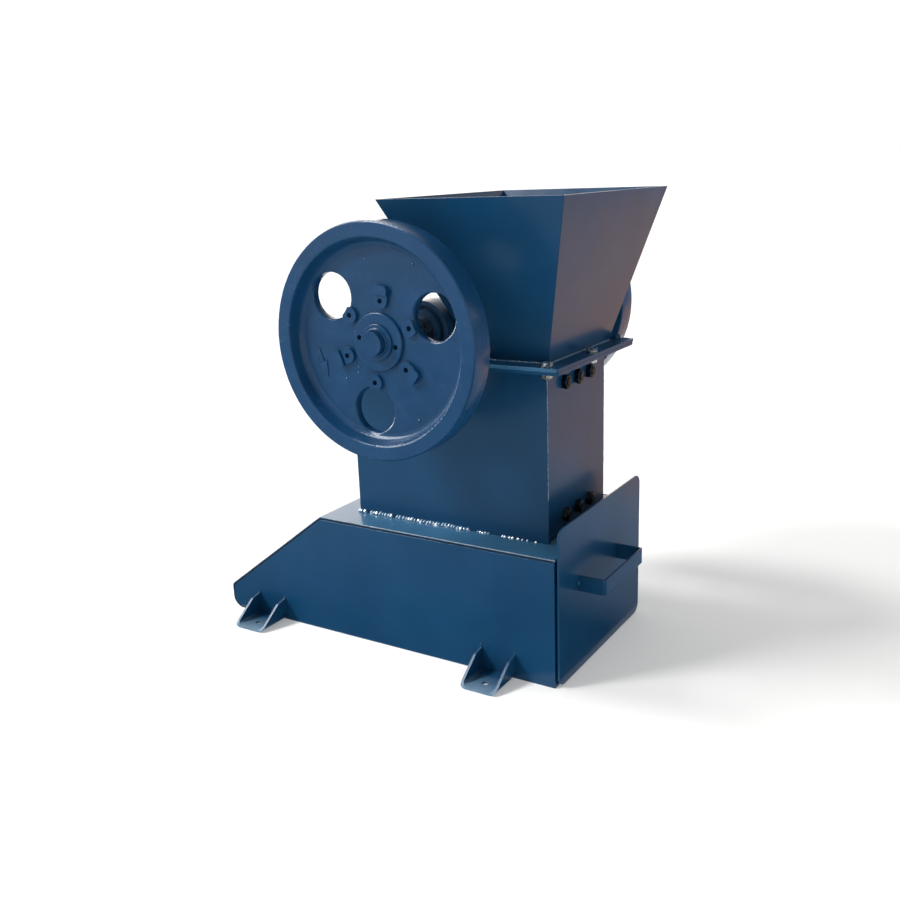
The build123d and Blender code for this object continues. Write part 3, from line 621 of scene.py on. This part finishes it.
def bodyWelds():
    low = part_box("body_side_near")[0]
    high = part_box("body_side_far")[1]
    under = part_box("body_top_flange")[0].z
    for side in ("near", "far"):
        start, end, out = boxSeam(low, high, low.z, side)
        change = start.lerp(end, bodySeam["change"])
        for name, bead, run in (("rear", filletWeld, (start, change)), ("front", thinFillet, (change, end))):
            weldBead(f"body_foot_weld_{side}_{name}", bead, [(*run, (*out, 1))], material=brushedWeld)
    for side in ("front", "rear"):
        start, end, out = boxSeam(low, high, low.z, side)
        weldBead(f"body_foot_weld_{side}", thinFillet, [(start, end, (*out, 1))])
    for side in ("near", "far", "front", "rear"):
        start, end, out = boxSeam(low, high, under, side)
        weldBead(f"body_flange_weld_{side}", smallWeld, [(start, end, (*out, -1))])
    top, bottom = under - bodySeam["below"] * mm, low.z + bodySeam["above"] * mm
    for side, y, out in (("near", low.y, -1), ("far", high.y, 1)):  # ground down to a thin line, pale as a painted highlight
        weldBead(f"body_corner_weld_{side}", cornerWeld,
                 [((high.x, y, top), (high.x, y, bottom), (1, out, 0))], material=paintedHighlightLine)


def baseWelds():
    low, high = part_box("base_top_plate")
    # Pale beads along the cover's top edges, a painted highlight
    for side, y, out in (("near", low.y, -1), ("far", high.y, 1)):
        weldBead(f"base_edge_weld_{side}", edgeWeld, [((low.x, y, high.z), (high.x, y, high.z), (0, out, 1))],
                 material=paintedHighlightLine)


def hopperWelds():
    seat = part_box("hopper_flange")[1].z
    low, high = Vector(hopperMouth["low"]) * mm, Vector(hopperMouth["high"]) * mm
    runs = []
    for side in ("near", "far", "front", "rear"):
        start, end, out = boxSeam(low, high, seat, side)
        runs.append((start, end, (*out, hopperMouth["rise"])))
    weldBead("hopper_foot_weld", smallWeld, runs)


def footWelds():
    inside, below, above = (cheekTack[key] * mm for key in ("in", "below", "above"))
    for end in ("rear", "front"):
        for side in ("near", "far"):
            low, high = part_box(f"foot_{end}_{side}")
            y, out = (low.y, 1) if side == "far" else (high.y, -1)
            runs = []
            for x in (low.x + inside, high.x - inside):
                runs.append(((x, y, high.z - below), (x, y, high.z + above), (0, out, 1)))
            weldBead(f"foot_weld_{end}_{side}", smallWeld, runs)


def handleWelds():
    low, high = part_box("drawer_handle")
    middle = (low.z + high.z) / 2
    bottom, top = middle - handleTack["below"] * mm, middle + handleTack["above"] * mm
    runs = []
    for y, way in ((low.y, -1), (high.y, 1)):
        runs.append(((low.x, y, bottom), (low.x, y, top), (1, way, 0)))
    weldBead("handle_weld", smallWeld, runs, "drawer", brushedWeld)


bodyWelds()
baseWelds()
hopperWelds()
footWelds()
handleWelds()
discard(ripple)
print("weld beads laid")


# Marks in the flywheel castings, modelled on the near wheel's web and copied to the far one

arrow = {"head": 28, "headWide": 20, "shaft": 24, "shaftWide": 9, "rise": 1.8, "edge": 0.7,
         "circle": 258, "angle": -157}
pip = {"across": 5, "rise": 2.0, "sunk": 0.2,
       "places": ((72, -130), (64, -135), (99, -137), (138, 98), (150, 60), (148, -60))}  # radius and angle
markSmooth = 40
webFace = 297.5  # the near web's face, from the middle of the machine
wheelTwist = 16  # the far wheel is turned half round and then by this, so that its lug holes line up


def wheelPlace(reach, angle, turn):  # on the near web, +Z out of it, +Y along the radius turned by an angle
    around = math.radians(angle)
    radial = Vector((math.cos(around), 0, math.sin(around)))
    out = Vector((0, -1, 0))
    seat = Vector(shaftPlace) * mm + radial * reach * mm + out * webFace * mm
    along = Quaternion(out, math.radians(turn)) @ radial
    return Matrix.Translation(seat) @ Matrix((along.cross(out), along, out)).transposed().to_4x4()


def farWheel():
    middle = Matrix.Translation(Vector(shaftPlace) * mm)
    turn = Matrix.Rotation(math.radians(wheelTwist), 4, "Y") @ Matrix.Rotation(math.pi, 4, "Z")
    return middle @ turn @ middle.inverted()


def castArrow():
    head, rise = arrow["head"] * mm, arrow["rise"] * mm
    bpy.ops.mesh.primitive_cylinder_add(vertices=3, radius=head / 1.5, depth=2 * rise)
    point = bpy.context.object
    pick(point, "FACE", every)  # its height is 1.5 radii, its side 2 / sqrt(3) heights
    bpy.ops.transform.resize(value=(arrow["headWide"] / arrow["head"] * math.sqrt(3) / 2, 1, 1))
    editDone()
    bpy.ops.mesh.primitive_cube_add(size=1)
    tail = bpy.context.object
    pick(tail, "FACE", every)  # it starts at the point's base, a third of the height behind its middle
    bpy.ops.transform.resize(value=(arrow["shaftWide"] * mm, arrow["shaft"] * mm, 2 * rise))
    bpy.ops.transform.translate(value=(0, -(arrow["head"] / 3 + arrow["shaft"] / 2) * mm, 0))
    editDone()
    model = joined("arrow", [point, tail])
    useModifier(model, "BEVEL", {"width": arrow["edge"] * mm, "segments": 2})
    return model


def castPip():
    bpy.ops.mesh.primitive_uv_sphere_add(segments=14, ring_count=8, radius=pip["across"] / 2 * mm)
    drop = bpy.context.object
    pick(drop, "FACE", every)
    bpy.ops.transform.resize(value=(1, 1, 2 * pip["rise"] / pip["across"]))
    bpy.ops.mesh.bisect(plane_co=(0, 0, -pip["sunk"] * mm), plane_no=(0, 0, 1),
                        clear_inner=True, use_fill=True)
    editDone()
    return drop


def castingMarks():
    model, drop = castArrow(), castPip()
    pointer = copied(model, "wheel_arrow_near", wheelPlace(arrow["circle"] / 2, arrow["angle"], turn=90))
    drops = joined("wheel_pips_near",
                   [copied(drop, "pip", wheelPlace(*place, turn=0)) for place in pip["places"]])
    for near, material in ((pointer, blueOnCasting), (drops, blueOnWeld)):  # the pips take the paler weld enamel, a painted highlight
        far = copied(near, near.name.replace("near", "far"), farWheel())
        for piece in (near, far):
            finished(piece, "rotor", material, markSmooth)
    discard(model)
    discard(drop)


castingMarks()
print("casting marks made")


# Grease nipples on the pillow blocks: a hexagon, a neck and a round head

nipple = {"flats": 9, "height": 4, "washer": 0, "neck": 5, "neckLong": 2,
          "head": ((1, 1), (1.2, 1.3), (2, 1), (1.6, 0.55)),  # rise and growth of each step
          "tilt": 35, "sunk": 0.5, "smooth": 30}


def greaseNipples():
    bpy.ops.mesh.primitive_cylinder_add(vertices=20, radius=nipple["neck"] / 2 * mm,
                                        depth=nipple["neckLong"] * mm,
                                        location=(0, 0, nipple["height"] * mm))
    neck = bpy.context.object
    pick(neck, "FACE", topFace)
    for step, size in nipple["head"]:
        bpy.ops.mesh.extrude_region_move(TRANSFORM_OT_translate={"value": (0, 0, step * mm)})
        bpy.ops.transform.resize(value=(size, size, 1))
    editDone()
    model = joined("nipple", [hexBlank(nipple), neck])
    axis = Vector(shaftPlace) * mm
    tilt = math.radians(nipple["tilt"])
    out = Vector((-math.sin(tilt), 0, math.cos(tilt)))
    for side in ("near", "far"):
        low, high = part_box(f"bearing_{side}")
        radius = high.z - axis.z
        seat = Vector((axis.x, (low.y + high.y) / 2, axis.z)) + out * (radius - nipple["sunk"] * mm)
        twin = copied(model, f"grease_nipple_{side}", pointing(out, seat))
        finished(twin, "frame", brightZinc, nipple["smooth"])
    discard(model)


greaseNipples()
print("grease nipples made")


# Tension spring: a smooth coil in place of the source's coil

coil = {"wire": 5, "across": 32, "turns": 5, "steps": 40, "smooth": 60}


def springCoil():
    low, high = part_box("tension_spring")
    middle = (low + high) / 2
    mean = (coil["across"] - coil["wire"]) / 2 * mm
    bpy.ops.mesh.primitive_circle_add(vertices=12, radius=coil["wire"] / 2 * mm, rotation=(math.pi / 2, 0, 0))
    spring = bpy.context.object
    spring.location = (high.x - coil["wire"] / 2 * mm, middle.y, middle.z)
    only(spring)
    bpy.ops.object.transform_apply(location=False, rotation=True, scale=False)
    pick(spring, "EDGE", every)
    bpy.ops.transform.translate(value=(0, 0, mean))
    editDone()
    rise = (high.x - low.x - coil["wire"] * mm) / coil["turns"]
    useModifier(spring, "SCREW", {"axis": "X", "screw_offset": -rise, "iterations": coil["turns"],
                                  "steps": coil["steps"], "render_steps": coil["steps"]})
    pick(spring, "EDGE", lambda edge: edge.is_boundary)
    bpy.ops.mesh.fill()
    bpy.ops.mesh.select_all(action="SELECT")
    bpy.ops.mesh.normals_make_consistent(inside=False)
    editDone()
    spring = joined("spring_coil", [spring])
    finished(spring, "frame", oiledWire, coil["smooth"])
    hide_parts("tension_spring")


springCoil()
print("spring wound")


# Plates that are welded edge to edge and ground flush show as one shell with rounded edges

shells = {
    "base_cover": {"nodes": ("base_slope_plate", "base_top_plate"), "edge": 2.2, "material": paintedLightCover},
    "body_shell": {"nodes": ("body_side_near", "body_side_far", "body_front_plate", "body_rear_plate"),
                   "edge": 2.4, "material": blueOnPlate},
}
meshCare = {"merge": 0.01 * mm,  # points closer than this are one
            "flat": math.radians(0.4),  # faces that differ by less are one
            "sharp": math.radians(30)}  # edges that turn by more are rounded
shellSmooth = 30


def groundShell(name, shell):
    plates = []
    for node in shell["nodes"]:
        plate = copied(nodes[node], name, Matrix())
        pick(plate, "FACE", every)
        bpy.ops.mesh.remove_doubles(threshold=meshCare["merge"])
        bpy.ops.mesh.customdata_custom_splitnormals_clear()
        editDone()
        plates.append(plate)
    whole = plates[0]
    for plate in plates[1:]:
        useModifier(whole, "BOOLEAN", {"operation": "UNION", "object": plate})
        discard(plate)
    pick(whole, "FACE", every)
    bpy.ops.mesh.dissolve_limited(angle_limit=meshCare["flat"])
    editDone()
    whole = joined(name, [whole])
    finished(whole, "frame", shell["material"], shellSmooth)
    useModifier(whole, "BEVEL", {"width": shell["edge"] * mm, "segments": 3, "limit_method": "ANGLE",
                                 "angle_limit": meshCare["sharp"], "harden_normals": True})
    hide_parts(*shell["nodes"])


for shellName, shell in shells.items():
    groundShell(shellName, shell)
print("shells ground flush")


# Finish of the carried-over nodes: rounded edges, then the paint or metal of each

softEdge = {"plate": 0.7, "sheet": 0.8, "casting": 1.4}  # edge radius


def dress(names, material, edge=None):
    for name in names:
        node = nodes[name]
        for entry in node.material_slots:
            entry.material = material
        if edge is None:
            continue
        weld = node.modifiers.new("weld", "WELD")
        weld.merge_threshold = meshCare["merge"]
        flat = node.modifiers.new("flat", "DECIMATE")
        flat.decimate_type = "DISSOLVE"
        flat.angle_limit = meshCare["flat"]
        bevel = node.modifiers.new("edge", "BEVEL")
        bevel.width = softEdge[edge] * mm
        bevel.segments = 2
        bevel.limit_method = "ANGLE"
        bevel.angle_limit = meshCare["sharp"]
        bevel.harden_normals = True


sheets = ["base_side_near", "base_side_far", "base_floor",
          "hopper_wall_near", "hopper_wall_far", "hopper_wall_front", "hopper_wall_rear",
          "drawer_floor", "drawer_side_near", "drawer_side_far", "drawer_back",
          "drawer_front_panel", "drawer_handle"]
feet = ["foot_rear_near", "foot_rear_far", "foot_front_near", "foot_front_far"]
dress(["body_top_flange", "toggle_seat"], blueOnPlate, "plate")
dress(["hopper_flange"], paleEdgedFlange, "plate")
dress(sheets, blueOnPlate, "sheet")
dress(feet, paintedHighlightFeet, "sheet")
for shell in shells.values():
    dress(shell["nodes"], shell["material"])
dress(["flywheel_near", "flywheel_far", "shaft_collar_near", "shaft_collar_far"], blueOnCasting, "casting")
dress(["pitman"], blueOnCasting)
dress(["bearing_near", "bearing_far"], darkOnHousing)
dress(["fixed_jaw_plate", "swing_jaw_plate", "toggle_plate"], jawSteel)
dress(["tension_rod"], brightZinc)
dress(["eccentric_shaft"], shaftSteel)
dress(["tension_spring"], oiledWire)
print("nodes dressed")


# Stage: pale floor, soft daylight from the front left and above, and glowing cards that only show in the
# gloss: ground that darkens towards the machine, warm to the right and cool to the left, dim blue ground and
# wall far to the right, and bright sky. Places and sizes are in metres, stops along a card in millimetres

stage = {
    "floor": "#e4e4e2", "floorGlow": 0.22, "floorRough": 0.9, "floorSpecular": 0.1, "floorWide": 600,
    "sky": "#ffffff", "horizonStrength": 1.0, "skyStrength": 0.45,
    "fadeStart": 0.2, "fadeEnd": 0.6,  # sines of the heights between which the sky darkens
    "suns": {
        "key_sun": {"from": (-0.56, -0.56, 0.61), "strength": 1.8, "angle": 14},
        "top_sun": {"from": (-0.57, -0.22, 0.79), "strength": 1.5, "angle": 13},
    },
    "cards": {
        "warm_ground": {"place": (1.08, 2.5, 0.003), "facing": (0, 0, 1), "turn": 0, "size": (1.34, 7.0),
                        "colour": "#ffc48c",
                        "glow": {"along": (0, 1, 0),
                                 "stops": ((80, 0.0), (220, 0.33), (450, 0.48), (1200, 0.98))},
                        "tint": {"along": (-0.6, 0.8, 0), "start": 240, "end": 400, "low": "#e2ecff"}},
        "far_ground": {"place": (4.2, 2.5, 0.003), "facing": (0, 0, 1), "turn": 0, "size": (4.9, 7.0),
                       "colour": "#aacbff", "strength": 0.45},
        "far_wall": {"place": (3.4, 5.0, 0.75), "facing": (-0.5, -0.86, 0), "turn": 0, "size": (4.5, 1.5),
                     "colour": "#aacbff", "strength": 0.45},
        "cool_ground": {"place": (-1.6, -2.54, 0.003), "facing": (0, 0, 1), "turn": 238, "size": (6.0, 7.0),
                        "colour": "#dff1ff",
                        "glow": {"along": (-0.53, -0.85, 0),
                                 "stops": ((250, 0.0), (950, 0.86), (1400, 0.88), (2600, 0.72))}},
        "left_sky": {"place": (-3.4, 0.6, 1.3), "facing": (1, -0.1, -0.1), "turn": 0, "size": (3.0, 2.2),
                     "colour": "#ffffff", "strength": 9.0},
        "high_sky": {"place": (-1.87, -0.97, 2.9), "facing": (0.51, 0.41, -0.76), "turn": 0,
                     "size": (1.75, 2.2), "colour": "#ffffff", "strength": 12.0},
        "bright_sky": {"place": (-2.2, 3.4, 1.3), "facing": (0.52, -0.81, -0.2), "turn": 0,
                       "size": (4.0, 2.2), "colour": "#fff4ea", "strength": 2.8},
    },
}
cameraPose = {"place": (1.10103, -1.62905, 0.89831), "azimuth": 32.37, "elevation": 15.61, "roll": -2.19,
              "lens": 39.73, "sensor": 36, "reach": 1000}


def paleFloor():
    bpy.ops.mesh.primitive_plane_add(size=stage["floorWide"])
    floor = bpy.context.object
    floor.name = "floor"
    pick(floor, "FACE", every)
    bpy.ops.mesh.subdivide(number_cuts=3)
    editDone()
    # Near-white ground with a soft shadow and no shine
    look = {"Roughness": stage["floorRough"], "Specular IOR Level": stage["floorSpecular"],
            "Base Color": linear(stage["floor"]),
            "Emission Color": linear(stage["sky"]), "Emission Strength": stage["floorGlow"]}
    floor.data.materials.append(newMaterial("matt pale floor", look, lambda material, place: {}))


def daylight():
    world = bpy.data.worlds.new("daylight")
    bpy.context.scene.world = world
    world.use_nodes = True
    background = world.node_tree.nodes["Background"]
    background.inputs["Color"].default_value = linear(stage["sky"])
    way = addNode(world, "ShaderNodeTexCoord").outputs["Generated"]
    fade = addNode(world, "ShaderNodeMapRange",
                   {"From Min": stage["fadeStart"], "From Max": stage["fadeEnd"],
                    "To Min": stage["horizonStrength"], "To Max": stage["skyStrength"]},
                   {"Value": height(world, way)})
    world.node_tree.links.new(fade.outputs[0], background.inputs["Strength"])

    for name, sun in stage["suns"].items():
        bpy.ops.object.light_add(type="SUN", location=(0, 0, 3))  # it lights alike from anywhere
        lamp = bpy.context.object
        lamp.name = name
        lamp.rotation_euler = Vector(sun["from"]).to_track_quat("Z", "Y").to_euler()
        lamp.data.energy = sun["strength"]
        lamp.data.angle = math.radians(sun["angle"])


def glowLinks(card):  # the glow of a card and its tint may each change along a direction on it
    def reach(material, place, along):
        return addNode(material, "ShaderNodeVectorMath", {"operation": "DOT_PRODUCT", 1: along},
                       {0: place}).outputs["Value"]

    def links(material, place):
        sources = {}
        if "glow" in card:
            distance = reach(material, place, card["glow"]["along"])
            stops = card["glow"]["stops"]
            level = None
            for (start, low), (end, high) in zip(stops, stops[1:]):
                share = ramp(material, distance, start, end)
                level = addNode(material, "ShaderNodeMath",
                                {"operation": "MULTIPLY_ADD", 1: high - low, 2: low},
                                {0: share} if level is None else {0: share, 2: level}).outputs[0]
            sources["Emission Strength"] = level
        if "tint" in card:
            tint = card["tint"]
            share = ramp(material, reach(material, place, tint["along"]), tint["start"], tint["end"])
            colour = addNode(material, "ShaderNodeMix",
                             {"data_type": "RGBA", 6: linear(tint["low"]), 7: linear(card["colour"])},
                             {0: share})
            sources["Emission Color"] = colour.outputs[2]
        return sources
    return links


def glowCards():
    for name, card in stage["cards"].items():
        bpy.ops.mesh.primitive_plane_add(size=1)
        glow = bpy.context.object
        turn = Matrix.Rotation(math.radians(card["turn"]), 4, "Z")
        size = Matrix.Diagonal((*card["size"], 1, 1))
        glow.data.transform(pointing(card["facing"], card["place"]) @ turn @ size)
        glow.name = name
        # Black but for its glow, seen in reflections alone
        look = {"Base Color": (0, 0, 0, 1), "Specular IOR Level": 0.0,
                "Emission Color": linear(card["colour"])}
        if "strength" in card:
            look["Emission Strength"] = card["strength"]
        glow.data.materials.append(newMaterial(name.replace("_", " "), look, glowLinks(card)))
        glow.visible_camera = glow.visible_diffuse = glow.visible_shadow = False


def photoCamera():
    bpy.ops.object.camera_add(location=cameraPose["place"])
    camera = bpy.context.object
    turn, rise = math.radians(cameraPose["azimuth"]), math.radians(cameraPose["elevation"])
    back = Vector((math.sin(turn) * math.cos(rise), -math.cos(turn) * math.cos(rise), math.sin(rise)))
    roll = Quaternion((0, 0, 1), math.radians(cameraPose["roll"]))
    camera.rotation_mode = "QUATERNION"
    camera.rotation_quaternion = (-back).to_track_quat("-Z", "Y") @ roll
    camera.data.lens = cameraPose["lens"]
    camera.data.sensor_width = cameraPose["sensor"]
    camera.data.clip_end = cameraPose["reach"]
    bpy.context.scene.camera = camera


paleFloor()
daylight()
glowCards()
photoCamera()
bpy.context.scene.view_settings.view_transform = "Standard"
print("stage set")
